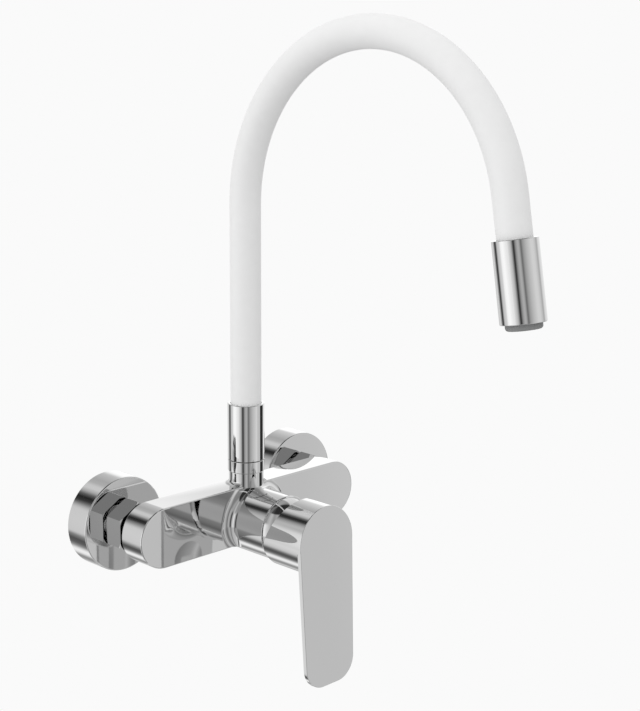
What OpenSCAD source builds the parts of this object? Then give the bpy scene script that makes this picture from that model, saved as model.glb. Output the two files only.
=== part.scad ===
// Wall-mounted single-lever sink faucet with a silicone-covered gooseneck.
// +Z is up, the wall is the plane y = 0 and the faucet stands out of it along -Y.
// The origin lies on the wall, midway between the two wall threads.

/* [Wall side] */
// Distance between the two inlets, left to right
inlet_spacing = 150; // [148:1:152]
// Step of each eccentric union, from wall thread to body thread
eccentric = 7; // [5:0.5:8]
// Outside diameter of a wall escutcheon
escutcheon_d = 59.2; // [58:0.2:64]
// How far an escutcheon stands out from the wall
escutcheon_depth = 17.7; // [16:0.1:18.5]
// Across flats of a union nut
nut_af = 30; // [30:0.5:32]

/* [Body] */
// Height of the horizontal bar
bar_h = 37.7; // [36:0.1:40]
// Distance between the centres of the bar's round ends
bar_cc = 143.3; // [140:0.1:146]
// Distance from the wall to the back of the bar
bar_back = 34.4; // [34:0.1:35]
// Distance from the wall to the front of the bar
bar_front = 53.5; // [53:0.1:54.5]
// Diameter of the cartridge housing
housing_d = 41.6; // [41.2:0.1:43]
// Radius of the cove between housing and bar
housing_cove = 7; // [5:0.5:8]

/* [Lever] */
// Diameter of the lever's skirt
skirt_d = 44.8; // [44:0.1:45.6]
// Distance from the wall to the blade's front face, at the valve axis
blade_front = 118.9; // [118:0.1:121]
// Length of the blade below the valve axis
blade_l = 90.6; // [80:0.2:100]
// Width of the blade near its foot
blade_foot_w = 40.6; // [38:0.2:43]
// Thickness of the blade
blade_t = 2.8; // [2.4:0.1:3.2]
// Lean of the blade, its foot away from the wall, in degrees
blade_lean = 2.9; // [2:0.1:4]

/* [Spout] */
// Distance from the wall to the spout's axis
spout_out = 46.8; // [46.4:0.1:47.2]
// Diameter of the round nut and the sleeve
collar_d = 23.3; // [23:0.1:24]
// Outside diameter of the silicone jacket
hose_d = 19.3; // [18.8:0.1:19.4]
// Height at which the hose starts to curve
rise_top = 186.7; // [150:1:200]
// Radius of the rising curve, at the hose's centre
rise_r = 103.7; // [95:0.5:110]
// Radius of the falling curve, at the hose's centre
fall_r = 99.85; // [95:0.5:105]
// Turn of the falling curve, in degrees
fall_angle = 80; // [76:1:84]
// Straight stretch above the outlet head
fall_end = 22.3; // [15:0.5:30]

/* [Outlet head] */
// Diameter of the head
head_d = 25.2; // [25:0.1:26]
// Length of the head's shell
head_l = 43.8; // [43:0.1:46]

/* [Hidden] */
$fn = 64;
fine = 96;

// Heights of the three horizontal axes
inlet_z = -eccentric;
bar_z = inlet_z - 1.4;
valve_z = inlet_z - 4.8;
bar_top = bar_z + bar_h / 2;

// Wall side, distances out from the wall
wall_thread_r = 10.48;
wall_thread_l = 14;
union_r = 13.2;
union_bore = 8.6;
union_end = 24;
nut_from = 19.7;
nut_to = 30.5;
nipple_r = 10.5;
nipple_bore = 7.5;
nipple_flange_r = 12.4;
nipple_from = 26.3;
nipple_to = 45.2;
ring_cord = 0.8;

// Valve, distances out from the wall along its axis
seat = 46;
cartridge_bore = 17.5;
cartridge_r = 17.35;
nut_thread_r = 18.6;
housing_end = 83.2;
bonnet_seat = housing_end - 4;
bonnet_bore = 19.6;
lift_pivot = 76.5;
ball_out = 61;
ball_r = 3;
dome_r = 20.87;
dome_wall = 1.47;
dome_clear = 21.2;
dome_mouth = 91;
base_top = seat + 5;
fixed_top = seat + 8.5;
moving_top = seat + 11.8;
carrier_top = seat + 18.2;
turret_foot = 64.5;
turret_top = 82;
turret_r = 10;
pin_r = 1.5;
shoulder = 68;
nut_top = 78;
lever_hub_from = 98;
spindle_w = 7;
spindle_end = 112;
screw_out = 103;
rim_out = 85.7;
rim_middle = 88;
rim_slope = 0.44;

// Ports of the cartridge: across and above its axis
hot_cold = [4.4, -5.4];
outlet_port = [0, 5.5];
port_r = 2.1;
outlet_r = 3.2;
seal_w = 1.2;
seal_h = 1.4;
disc_r = 12.5;
disc_rest = 3.4;

// Spout, heights
boss_top = 18.7;
spigot_top = 22.7;
boss_floor = 8.5;
boss_bore = 8.3;
collar_split = 26.05;
sleeve_top = 62.4;
hose_foot = 36.2;
jacket_bore = 7.8;
conduit_r = 7.6;
conduit_bore = 5.6;
tube_r = 5.3;
tube_bore = 3.6;
flex_to = 58;

// Top of the outlet head, measured out from the spout's axis and up
head_u = rise_r + fall_r * sin(fall_angle) + fall_end * cos(fall_angle);
head_z = rise_top + rise_r - fall_r + fall_r * cos(fall_angle) - fall_end * sin(fall_angle);
head_tilt = 90 - fall_angle;
hose_in_head = 7.8;

chrome = "Silver";
brass = "DarkGoldenrod";

// ---------- helpers ----------

// Points on an arc about c, from angle a to angle b
function arc(c, r, a, b, n = 4) =
    [for (i = [0 : n]) let (t = a + (b - a) * i / n) c + r * [cos(t), sin(t)]];

// A turned piece from its half profile of [radius, height] points
module turned(profile) rotate_extrude($fn = fine) polygon(profile);

// A plain ring between two heights
module ring(outer, inner, from, to) translate([0, 0, from]) difference() {
    cylinder(r = outer, h = to - from, $fn = fine);
    translate([0, 0, -1]) cylinder(r = inner, h = to - from + 2, $fn = fine);
}

// A plain drill or rod between two heights
module rod(r, from, to) translate([0, 0, from]) cylinder(r = r, h = to - from);

// A seal ring of round section, in its own plane
module o_ring(centre_r, cord_r) rotate_extrude($fn = fine)
    translate([centre_r, 0]) circle(r = cord_r, $fn = 24);

// Stands its children on the wall at [x, z], their +Z pointing out of it and their +Y up
module from_wall(x, z) translate([x, 0, z]) rotate([90, 0, 0]) children();

// Stands its children on the valve axis, heights measured out from the wall
module on_valve() from_wall(0, valve_z) children();

// Stands its children on the spout's vertical axis
module on_spout() translate([0, -spout_out, 0]) children();

// Lays flat children into the spout's upright plane, x outwards and y upwards
module spout_plane() on_spout() rotate([90, 0, -90]) children();

// Stands its children at the top of the outlet head, their +Z along the head, downwards
module on_head() spout_plane() translate([head_u, head_z, 0]) rotate([90, 0, head_tilt]) children();

// ---------- wall side ----------

module escutcheon(side) color(chrome) from_wall(side * inlet_spacing / 2, inlet_z) {
    wall = 1.2;
    edge = 0.8;
    r = escutcheon_d / 2;
    hole = union_r + 0.1;
    turned(concat(
        [[r, 0]], arc([r - edge, escutcheon_depth - edge], edge, 0, 90),
        [[hole, escutcheon_depth], [hole, escutcheon_depth - 4], [hole + wall, escutcheon_depth - 4],
         [hole + wall, escutcheon_depth - wall], [r - wall, escutcheon_depth - wall], [r - wall, 0]]));
}

module eccentric_union(side) color(chrome) {
    x = side * inlet_spacing / 2;
    difference() {
        union() {
            from_wall(x, 0) rod(wall_thread_r, -wall_thread_l, 2);
            from_wall(x, 0) rod(union_r - 0.4, 1, 9);
            from_wall(x, inlet_z) rod(union_r, 4.5, union_end);
        }
        from_wall(x, 0) rod(6.5, -wall_thread_l - 1, 7);
        from_wall(x, inlet_z) rod(union_bore, 6, union_end + 1);
    }
}

// Rubber washer with a domed sieve in its bore
module strainer_washer(side) color("DimGray") from_wall(side * inlet_spacing / 2, inlet_z) {
    sieve_centre = [0, 13];
    sieve_r = 12;
    sieve_wall = 0.4;
    ring(nipple_flange_r + 0.2, union_bore - 0.2, union_end + 0.05, nipple_from - 0.05);
    turned(concat(arc(sieve_centre, sieve_r, 46, 90, 6),
        arc(sieve_centre, sieve_r + sieve_wall, 90, 47.5, 6)));
}

module union_nut(side) color(chrome) from_wall(side * inlet_spacing / 2, inlet_z) {
    tip_r = nut_af / 2 / cos(30);
    bevel = tip_r - nut_af / 2;
    slope = bevel * tan(30);
    lip = nut_to - 2;
    difference() {
        intersection() {
            translate([0, 0, nut_from]) rotate(30) cylinder(r = tip_r, h = nut_to - nut_from, $fn = 6);
            turned([[0, nut_from], [tip_r - bevel, nut_from], [tip_r, nut_from + slope],
                    [tip_r, nut_to - slope], [tip_r - bevel, nut_to], [0, nut_to]]);
        }
        rod(union_r + 0.1, nut_from - 1, lip);
        rod(nipple_r + 0.3, nut_from, nut_to + 1);
    }
}

module inlet_nipple(side) color(chrome) from_wall(side * inlet_spacing / 2, inlet_z) difference() {
    union() {
        rod(nipple_flange_r, nipple_from, nipple_from + 2);
        rod(nipple_r, nipple_from + 1, nipple_to);
    }
    rod(nipple_bore, nipple_from - 1, nipple_to + 1);
}

module nipple_o_rings() color("DimGray") for (side = [-1, 1])
    from_wall(side * inlet_spacing / 2, inlet_z)
        translate([0, 0, bar_back + 1]) o_ring(nipple_r + ring_cord + 0.04, ring_cord);

// ---------- body ----------

// The bar with its two full-round ends, drawn with its height along y
module bar() {
    edge = 0.8;
    h = bar_h / 2;
    side = concat(arc([h - edge, bar_back + edge], edge, -90, 0),
        arc([h - edge, bar_front - edge], edge, 0, 90));
    half = concat([[0, bar_back]], side, [[0, bar_front]]);
    full = concat(side, [for (p = side) [-p[0], bar_front + bar_back - p[1]]]);
    translate([-bar_cc / 2, 0, 0]) rotate([90, 0, 90]) linear_extrude(bar_cc) polygon(full);
    translate([bar_cc / 2, 0, 0]) rotate(-90) rotate_extrude(angle = 180, $fn = fine) polygon(half);
    translate([-bar_cc / 2, 0, 0]) rotate(90) rotate_extrude(angle = 180, $fn = fine) polygon(half);
}

// Cartridge housing, with its rounded back end under the bar
module housing_barrel() {
    r = housing_d / 2;
    turned(concat([[0, 38]], arc([r - 4, 42], 4, -90, 0, 6), arc([r - 0.4, housing_end - 0.4], 0.4, 0, 90, 2),
        [[0, housing_end]]));
}

// Cove that carries the housing into the bar's front face
module housing_cove_ring() {
    r = housing_d / 2;
    turned(concat([[r - 3, bar_front - 3]], [[r + housing_cove, bar_front - 3]],
        arc([r + housing_cove, bar_front + housing_cove], housing_cove, -90, -180, 10),
        [[r - 3, bar_front + housing_cove]]));
}

module mixer_body() color(chrome) {
    boss_r = 11;
    flare = 3;
    passage_r = 3.6;
    passage_out = 41.4;
    flat_h = bar_h - 1.6;
    difference() {
        union() {
            from_wall(0, bar_z) bar();
            on_valve() housing_barrel();
            intersection() {
                on_valve() housing_cove_ring();
                from_wall(0, bar_z) translate([-40, -flat_h / 2, bar_front - 2]) cube([80, flat_h, 12]);
            }
            on_spout() rod(boss_r, bar_z, boss_top);
            on_spout() rod(boss_r - 1, boss_top - 1, spigot_top);
            intersection() {
                on_spout() turned(concat([[boss_r - 2, bar_top - 2], [boss_r + flare, bar_top - 2]],
                    arc([boss_r + flare, bar_top + flare], flare, -90, -180, 6),
                    [[boss_r - 2, bar_top + flare]]));
                translate([-20, -bar_front + 0.8, bar_top - 1]) cube([40, bar_front - bar_back - 1.6, 6]);
            }
        }
        // cartridge bore, thread of its nut and recess of the bonnet
        on_valve() rod(cartridge_bore, seat, housing_end);
        on_valve() rod(nut_thread_r, 66, housing_end);
        on_valve() rod(bonnet_bore, bonnet_seat, housing_end + 1);
        // inlet threads, each with the seat of its seal
        for (side = [-1, 1]) from_wall(side * inlet_spacing / 2, inlet_z) {
            rod(nipple_r + 0.05, bar_back - 1, nipple_to + 0.4);
            rod(nipple_r + 2 * ring_cord + 0.1, bar_back - 1, bar_back + 2);
        }
        // cross passages from the inlets to the ports in the cartridge seat
        for (side = [-1, 1]) {
            translate([side * 2.6, -passage_out, valve_z - 3.4]) rotate([0, side * 90, 0])
                cylinder(r = passage_r, h = inlet_spacing / 2 - 2.6);
            on_valve() translate([side * hot_cold[0], hot_cold[1], 0])
                rod(port_r + 0.6, passage_out, seat + 1);
        }
        // outlet: port, riser and spout bore
        on_valve() translate(outlet_port) rod(outlet_r, 42, seat + 1);
        translate([0, -42, valve_z + outlet_port[1]]) cylinder(r = outlet_r, h = boss_floor - valve_z - 5);
        on_spout() rod(boss_bore, boss_floor, spigot_top + 1);
    }
}

// ---------- cartridge ----------

// Draws its children at the two inlet ports and the outlet port of the cartridge
module at_inlet_ports() for (side = [-1, 1]) translate([side * hot_cold[0], hot_cold[1], 0]) children();
module at_outlet_port() translate(outlet_port) children();

module cartridge_seals() color("DimGray") on_valve() {
    at_inlet_ports() ring(port_r + seal_w, port_r, seat + 0.03, seat + seal_h);
    at_outlet_port() ring(outlet_r + seal_w, outlet_r, seat + 0.03, seat + seal_h);
}

module cartridge_base() color("WhiteSmoke") on_valve() difference() {
    rod(cartridge_r, seat + 0.6, base_top);
    at_inlet_ports() {
        rod(port_r, seat, base_top + 1);
        rod(port_r + seal_w + 0.05, seat, seat + seal_h + 0.05);
    }
    at_outlet_port() {
        rod(outlet_r, seat, base_top + 1);
        rod(outlet_r + seal_w + 0.05, seat, seat + seal_h + 0.05);
    }
}

module fixed_disc() color("Linen") on_valve() difference() {
    rod(16, base_top + 0.05, fixed_top);
    at_inlet_ports() rod(port_r, seat, fixed_top + 1);
    at_outlet_port() rod(outlet_r, seat, fixed_top + 1);
}

// Disc with a blind mixing pocket towards the fixed disc
module moving_disc() color("Linen") on_valve() translate([0, disc_rest, 0]) difference() {
    pocket_r = 5.8;
    pocket_w = 9.5;
    pocket_top = fixed_top + 1.9;
    rod(disc_r, fixed_top + 0.05, moving_top);
    translate([0, 3, 0]) rod(pocket_r, fixed_top - 0.5, pocket_top);
    translate([-pocket_w / 2, -3.1, fixed_top - 0.5]) cube([pocket_w, 6, pocket_top - fixed_top + 0.5]);
}

// Slide with a flat for each rail of the turret and a slot for the spindle's ball
module disc_carrier() color("Tomato") on_valve() difference() {
    slot = ball_r + 0.1;
    translate([0, disc_rest, 0]) rod(disc_r, moving_top + 0.05, carrier_top);
    for (side = [-1, 1]) translate([side * 16.5 - 5, -20, moving_top + 0.7]) cube([10, 40, 8]);
    translate([-slot, -slot - 0.25, moving_top - 0.8]) cube([2 * slot, 2 * slot + 0.5, 9]);
}

// Guide that the lever turns: a foot with two rails for the carrier and a slotted neck
module spindle_turret() color("WhiteSmoke") on_valve() difference() {
    rail = [2, 15, 7];
    union() {
        rod(15.8, turret_foot, turret_foot + 2.2);
        rod(turret_r, turret_foot + 1.5, turret_top);
        for (side = [-1, 1])
            translate([side * 12.8 - rail[0] / 2, -rail[1] / 2, moving_top + 0.9]) cube(rail);
    }
    translate([-spindle_w / 2 - 0.15, -8.7, 60]) cube([spindle_w + 0.3, 15.9, 24]);
    translate([0, 0, lift_pivot]) rotate([0, 90, 0]) cylinder(r = pin_r + 0.01, h = 24, center = true);
}

module spindle_pin() color("SlateGray") on_valve()
    translate([0, 0, lift_pivot]) rotate([0, 90, 0]) cylinder(r = pin_r, h = 2 * turret_r - 1, center = true);

module spindle() color(brass) on_valve() difference() {
    union() {
        translate([0, 0, ball_out]) sphere(r = ball_r, $fn = 48);
        rod(1.9, ball_out, 68);
        translate([-spindle_w / 2, -spindle_w / 2, 66.5]) cube([spindle_w, spindle_w, spindle_end - 66.5]);
    }
    translate([0, 0, lift_pivot]) rotate([0, 90, 0]) cylinder(r = pin_r + 0.05, h = 12, center = true);
}

module cartridge_housing() color("WhiteSmoke") on_valve() difference() {
    neck_r = 13.2;
    union() {
        rod(cartridge_r, base_top + 0.05, shoulder + 0.2);
        rod(neck_r, shoulder, turret_top - 2);
    }
    rod(16.2, base_top - 1, turret_foot + 2.5);
    rod(turret_r + 0.06, turret_foot + 1.5, turret_top - 1);
}

module cartridge_nut() color(brass) on_valve() difference() {
    union() {
        rod(nut_thread_r - 0.05, shoulder + 0.3, nut_top - 4);
        translate([0, 0, nut_top - 5]) cylinder(r = 18.4, h = 5, $fn = 6);
    }
    rod(13.3, shoulder, nut_top + 1);
}

// Dome that the lever's skirt rocks over, with the collar that screws it into the housing
module bonnet() color(chrome) on_valve() {
    difference() {
        translate([0, 0, lift_pivot]) sphere(r = dome_r, $fn = fine);
        translate([0, 0, lift_pivot]) sphere(r = dome_r - dome_wall, $fn = fine);
        rod(30, 50, housing_end + 0.05);
        rod(30, dome_mouth, 110);
        rod(14.2, 70, 110);
    }
    ring(bonnet_bore - 0.05, 18.8, bonnet_seat + 0.2, housing_end + 0.3);
}

// ---------- lever ----------

// Outline of the blade seen from the front, its top round on the valve axis
module blade_outline(inset = 0) {
    corner = 14;
    foot = [blade_foot_w / 2 - corner, corner - blade_l];
    polygon(concat(
        arc([0, 0], skirt_d / 2 + 0.25 - inset, 0, 180, 24),
        arc([-foot[0], foot[1]], corner - inset, 180, 270, 8),
        arc(foot, corner - inset, 270, 360, 8)));
}

// The blade, with a shallow dish for the fingers in its back
module blade() {
    depth = 1.2;
    curve = 60;
    half_w = sqrt(curve * curve - (curve - depth) * (curve - depth));
    top = -skirt_d / 2 - 9.5 - half_w;
    foot = 8 + half_w - blade_l;
    difference() {
        translate([0, 0, -blade_t]) linear_extrude(blade_t) blade_outline();
        translate([0, 0, depth - blade_t - curve]) {
            for (end = [top, foot]) translate([0, end, 0]) rotate([90, 0, 0]) sphere(r = curve, $fn = 180);
            translate([0, top, 0]) rotate([90, 0, 0]) cylinder(r = curve, h = top - foot, $fn = 180);
        }
    }
}

// Leans its children with the blade, z = 0 on the blade's front face
module blade_frame() on_valve() translate([0, 0, blade_front]) rotate([-blade_lean, 0, 0]) children();

module lever_handle() color(chrome) {
    r = skirt_d / 2;
    blend = 8;
    cavity_r = 18.6;
    cavity_end = 113.5;
    difference() {
        union() {
            on_valve() rod(r, rim_out, blade_front - 1.5);
            blade_frame() blade();
            // cove from the skirt into the back of the blade, inside the blade's outline
            blade_frame() intersection() {
                translate([0, 0.45, -blade_t]) turned(concat([[r - 1.2, -blend]],
                    arc([r + blend - 0.15, -blend], blend, 180, 90, 10), [[r + blend, 1.3], [r - 1.2, 1.3]]));
                translate([0, 0, -blend - blade_t - 1]) linear_extrude(blend + 3) blade_outline(0.4);
            }
        }
        on_valve() {
            // upper part of the rim, cut back on a slope so that the lever can lift
            translate([0, 0, rim_middle]) rotate([atan(rim_slope), 0, 0])
                translate([-30, -30, -30]) cube([60, 60, 30]);
            translate([0, 0, lift_pivot]) sphere(r = dome_clear, $fn = fine);
            difference() {
                rod(cavity_r, lift_pivot, cavity_end);
                rod(9, lever_hub_from, cavity_end + 1);
                for (side = [-1, 1]) translate([side * 14 - 6, -1, lever_hub_from + 4]) cube([12, 2, 14]);
            }
            translate([-spindle_w / 2 - 0.05, -spindle_w / 2 - 0.05, 95])
                cube([spindle_w + 0.1, spindle_w + 0.1, spindle_end - 94.7]);
            translate([0, 0, screw_out]) rotate([90, 0, 0]) cylinder(r = 2.5, h = 12);
            translate([0, -cavity_r + 1, screw_out]) rotate([90, 0, 0]) cylinder(r = 3.2, h = 6);
        }
    }
}

module grub_screw() color("DimGray") on_valve()
    translate([0, -spindle_w / 2 - 0.08, screw_out]) rotate([90, 0, 0]) difference() {
        cylinder(r = 2.45, h = 7);
        translate([0, 0, 4]) cylinder(r = 1.44, h = 4, $fn = 6);
    }

module screw_plug() color("LightGray") on_valve()
    translate([0, -18.3, screw_out]) rotate([90, 0, 0]) cylinder(r = 3.15, h = skirt_d / 2 - 18.3 - 0.1);

// ---------- spout ----------

module spout_nut() color(chrome) on_spout() {
    r = collar_d / 2;
    edge = 0.3;
    turned(concat([[10.05, boss_top + 0.15]], [[r, boss_top + 0.15]],
        arc([r - edge, collar_split - edge], edge, 0, 90, 2),
        [[8.1, collar_split], [8.1, collar_split - 1.1], [9.8, collar_split - 1.1], [9.8, spigot_top + 0.2],
         [10.05, spigot_top + 0.2]]));
}

module spout_tail() color(brass) on_spout() difference() {
    union() {
        rod(boss_bore - 0.06, boss_floor + 0.3, spigot_top + 0.5);
        rod(9.5, spigot_top + 0.2, spigot_top + 1.5);
        rod(7.9, spigot_top, hose_foot);
        rod(tube_bore - 0.1, hose_foot - 1, hose_foot + 8);
    }
    for (z = [11.5, 15.5]) ring(9, 6.6, z - 0.95, z + 0.95);
    rod(3, boss_floor - 1, hose_foot - 1);
    rod(2.6, hose_foot - 2, hose_foot + 9);
}

module spout_o_rings() color("DimGray") on_spout()
    for (z = [11.5, 15.5]) translate([0, 0, z]) o_ring(7.42, 0.8);

module slide_washer() color("WhiteSmoke") on_spout()
    ring(9.4, 8.1, spigot_top + 1.55, collar_split - 1.15);

module hose_sleeve() color(chrome) on_spout() {
    r = collar_d / 2;
    edge = 0.5;
    bore = hose_d / 2 + 0.1;
    turned(concat([[7.95, collar_split + 0.3]], arc([r - 0.3, collar_split + 0.6], 0.3, -90, 0, 2),
        arc([r - edge, sleeve_top - edge], edge, 0, 90),
        [[bore, sleeve_top], [bore, hose_foot - 0.05], [7.95, hose_foot - 0.05]]));
}

// Flat ring swept along the hose: the upright foot and the rising curve
module rising_tube(outer, inner) {
    on_spout() ring(outer, inner, hose_foot + 0.1, rise_top);
    spout_plane() translate([rise_r, rise_top, 0]) rotate(90) rotate_extrude(angle = 90, $fn = fine)
        translate([rise_r, 0]) difference() {
            circle(r = outer, $fn = 48);
            circle(r = inner, $fn = 48);
        }
}

// Lays flat children about the centre of the falling curve, +X towards a turn from its top
module fall_frame(turn) spout_plane()
    translate([rise_r, rise_top + rise_r - fall_r, 0]) rotate(90 - turn) children();

// The same ring along the falling curve, between two angles from its top
module falling_tube(outer, inner, from, to) fall_frame(to)
    rotate_extrude(angle = to - from, $fn = fine) translate([fall_r, 0]) difference() {
        circle(r = outer, $fn = 48);
        circle(r = inner, $fn = 48);
    }

// The straight stretch that enters the head
module tail_tube(outer, inner) fall_frame(fall_angle)
    translate([fall_r, 0, 0]) rotate([90, 0, 0]) ring(outer, inner, 0, fall_end + hose_in_head);

module spout_jacket() color("White") rising_tube(hose_d / 2, jacket_bore);

module jacket_bend() color("White") falling_tube(hose_d / 2, jacket_bore, 0, flex_to);

module jacket_end() color("White") {
    falling_tube(hose_d / 2, jacket_bore, flex_to, fall_angle);
    tail_tube(hose_d / 2, jacket_bore);
}

module support_conduit() color("SlateGray") rising_tube(conduit_r, conduit_bore);

module conduit_bend() color("SlateGray") {
    falling_tube(conduit_r, conduit_bore, 0, fall_angle);
    tail_tube(conduit_r, conduit_bore);
}

module water_tube() color("LightSteelBlue") rising_tube(tube_r, tube_bore);

module tube_bend() color("LightSteelBlue") {
    falling_tube(tube_r, tube_bore, 0, fall_angle);
    tail_tube(tube_r, tube_bore);
}

// ---------- outlet head ----------

module head_shell() color(chrome) on_head() {
    r = head_d / 2;
    bore = r - 0.9;
    edge = 0.4;
    lip = hose_d / 2 + 0.15;
    turned(concat([[lip, 0]], arc([r - edge, edge], edge, -90, 0),
        arc([r - edge, head_l - edge], edge, 0, 90),
        [[bore, head_l], [bore, 1.6], [lip, 1.6]]));
}

module head_connector() color(brass) on_head() difference() {
    union() {
        rod(tube_bore - 0.1, 0.2, 10);
        rod(head_d / 2 - 0.95, hose_in_head + 0.4, 22);
        rod(9, 21, 29.8);
    }
    ring(14, 9.95, 14.05, 15.95);
    rod(2.6, -1, 12);
    rod(6, 11, 31);
}

module head_o_ring() color("DimGray") on_head() translate([0, 0, 15]) o_ring(head_d / 2 - 1.75, 0.8);

module nozzle() color("Gray") on_head() {
    r = 9.95;
    round_r = 1.6;
    tip = head_l + 3.5;
    flange = head_d / 2 - 0.95;
    turned(concat([[9.05, 22.1], [flange, 22.1], [flange, head_l - 0.5], [r, head_l - 0.5]],
        arc([r - round_r, tip - round_r], round_r, 0, 90, 5),
        [[7.4, tip], [7.4, tip - 2.6], [8.7, tip - 2.6], [8.7, 30], [9.05, 30]]));
}

// Insert with a cross-barred stream former at its mouth
module aerator() color("WhiteSmoke") on_head() {
    mouth = head_l + 0.8;
    ring(8.6, 7.4, 30.2, mouth);
    intersection() {
        rod(7.6, mouth - 3, mouth);
        union() for (i = [-3 : 3]) {
            translate([i * 2.1 - 0.25, -8, mouth - 3]) cube([0.5, 16, 3]);
            translate([-8, i * 2.1 - 0.25, mouth - 3]) cube([16, 0.5, 3]);
        }
    }
}

// ---------- assembly ----------

escutcheon(-1);  // escutcheon_left
escutcheon(1);  // escutcheon_right
eccentric_union(-1);  // eccentric_union_left
eccentric_union(1);  // eccentric_union_right
strainer_washer(-1);  // strainer_washer_left
strainer_washer(1);  // strainer_washer_right
union_nut(-1);  // union_nut_left
union_nut(1);  // union_nut_right
inlet_nipple(-1);  // inlet_nipple_left
inlet_nipple(1);  // inlet_nipple_right
nipple_o_rings();
mixer_body();
cartridge_seals();
cartridge_base();
fixed_disc();
moving_disc();
disc_carrier();
spindle_turret();
spindle_pin();
spindle();
cartridge_housing();
cartridge_nut();
bonnet();
lever_handle();
grub_screw();
screw_plug();
spout_nut();
spout_tail();
spout_o_rings();
slide_washer();
hose_sleeve();
spout_jacket();
jacket_bend();
jacket_end();
support_conduit();
conduit_bend();
water_tube();
tube_bend();
head_shell();
head_connector();
head_o_ring();
nozzle();
aerator();
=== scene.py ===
"""Wall-mounted single-lever kitchen faucet with a silicone-covered flexible spout."""
from math import asin, atan, atan2, cos, degrees, pi, radians, sin, sqrt

import bpy
from mathutils import Matrix, Vector


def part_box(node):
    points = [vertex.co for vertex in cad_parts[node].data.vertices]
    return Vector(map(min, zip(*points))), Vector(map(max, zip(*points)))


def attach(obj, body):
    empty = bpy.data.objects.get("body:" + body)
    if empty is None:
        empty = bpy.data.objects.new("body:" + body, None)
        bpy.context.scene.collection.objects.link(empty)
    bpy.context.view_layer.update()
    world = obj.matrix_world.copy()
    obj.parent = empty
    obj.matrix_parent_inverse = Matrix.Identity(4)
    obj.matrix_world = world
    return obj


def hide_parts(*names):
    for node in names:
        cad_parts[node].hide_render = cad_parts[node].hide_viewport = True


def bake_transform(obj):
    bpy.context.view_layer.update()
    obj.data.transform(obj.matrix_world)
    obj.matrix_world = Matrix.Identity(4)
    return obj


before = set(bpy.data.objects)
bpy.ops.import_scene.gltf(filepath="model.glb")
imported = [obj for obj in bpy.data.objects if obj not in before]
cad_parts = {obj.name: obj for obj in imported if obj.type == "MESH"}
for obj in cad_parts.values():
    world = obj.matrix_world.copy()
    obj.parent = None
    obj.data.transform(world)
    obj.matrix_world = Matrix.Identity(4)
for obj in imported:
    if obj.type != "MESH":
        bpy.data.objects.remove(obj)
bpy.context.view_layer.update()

MM = 0.001

# ---------------------------------------------------------------- camera

CAMERA_PLACE = Vector((-611.1, -717.5, 286.4)) * MM
CAMERA_AZIMUTH = -45.26
CAMERA_ELEVATION = 12.06
CAMERA_ROLL = 0.38
FOCAL_LENGTH = 75.2

lens = bpy.data.cameras.new("camera")
lens.lens = FOCAL_LENGTH
lens.sensor_width = 36
lens.clip_start = 0.01
camera = bpy.data.objects.new("camera", lens)
bpy.context.scene.collection.objects.link(camera)
camera.matrix_world = (
    Matrix.Translation(CAMERA_PLACE)
    @ Matrix.Rotation(radians(CAMERA_AZIMUTH), 4, "Z")
    @ Matrix.Rotation(radians(90 - CAMERA_ELEVATION), 4, "X")
    @ Matrix.Rotation(radians(CAMERA_ROLL), 4, "Z"))
bpy.context.scene.camera = camera

# ---------------------------------------------------------------- sizes, in mm


def centre_of(node):
    """Centre of a CAD node's box, in mm."""
    low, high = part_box(node)
    return (low + high) / 2 / MM


def size_of(node):
    """Width, depth and height of a CAD node's box, in mm."""
    low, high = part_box(node)
    return (high - low) / MM


# axes
INLET_X, _, INLET_Z = centre_of("union_nut_right")
VALVE_Z = centre_of("bonnet").z
SPOUT_OUT = -centre_of("spout_nut").y
BAR_Z = INLET_Z - 1.4

# body; BACK, FRONT and END are measured out of the wall
BAR_HALF = 18.85
BAR_REACH = size_of("mixer_body").x / 2 - BAR_HALF
BAR_BACK = 34.4
NUT_END = BAR_BACK - 1.5
BAR_FRONT = 53.5
BAR_EDGE = 0.8
HOUSING_R = 20.8
HOUSING_END = 83.2
HOUSING_COVE = 7.0
BOSS_R = 11.0
BOSS_TOP = 18.7
SPIGOT_TOP = 22.7
BOSS_FLARE = 3.0
COVE_SINK = 0.006    # a cove is sunk this much into the two faces it joins

# bonnet and lever, their places on the valve's axis measured out of the wall too
LIFT_PIVOT = 76.5
DOME_R = 20.87
DOME_MOUTH = 91.0
BONNET_SEAT = 79.2
SKIRT_R = 22.4
SKIRT_FILLET = 8.0
RIM_OUT = 85.7
RIM_MIDDLE = 88.0
RIM_SLOPE = 0.44
BLADE_FRONT = 118.9
BLADE_LENGTH = 90.6
BLADE_FOOT_HALF = 20.3
BLADE_THICKNESS = 2.8
BLADE_LEAN = 2.9
BLADE_CORNER = 14.0
SCREW_OUT = 103

# spout, its heights measured from the frame's origin
COLLAR_R = 11.65
COLLAR_SPLIT = 26.05
SLEEVE_TOP = 62.4
HOSE_R = 9.65
HOSE_FOOT = 36.2
RISE_TOP = 186.7
RISE_R = 103.7
FALL_R = 99.85
FALL_TURN = 80
FALL_END = 22.3

# outlet head
HEAD_R = 12.6
HEAD_LENGTH = 43.8
HOSE_IN_HEAD = 7.8

SIDES = 192          # sides of a chromed turned piece
PLAIN_SIDES = 96     # sides of a turned piece that hardly shows
HOSE_SIDES = 64      # sides of the hose and its inner tubes
BORE_SIDES = 64      # sides of a bore
HOLE_SIDES = 48      # sides of a small hole
FINE_ARC = 6         # steps of a small rounded edge

# ---------------------------------------------------------------- places


def out_of_wall(x, z):
    """Frame on the wall at x, z: its Z points out of the wall and its Y up."""
    return Matrix.Translation(Vector((x, 0, z)) * MM) @ Matrix.Rotation(pi / 2, 4, "X")


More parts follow.
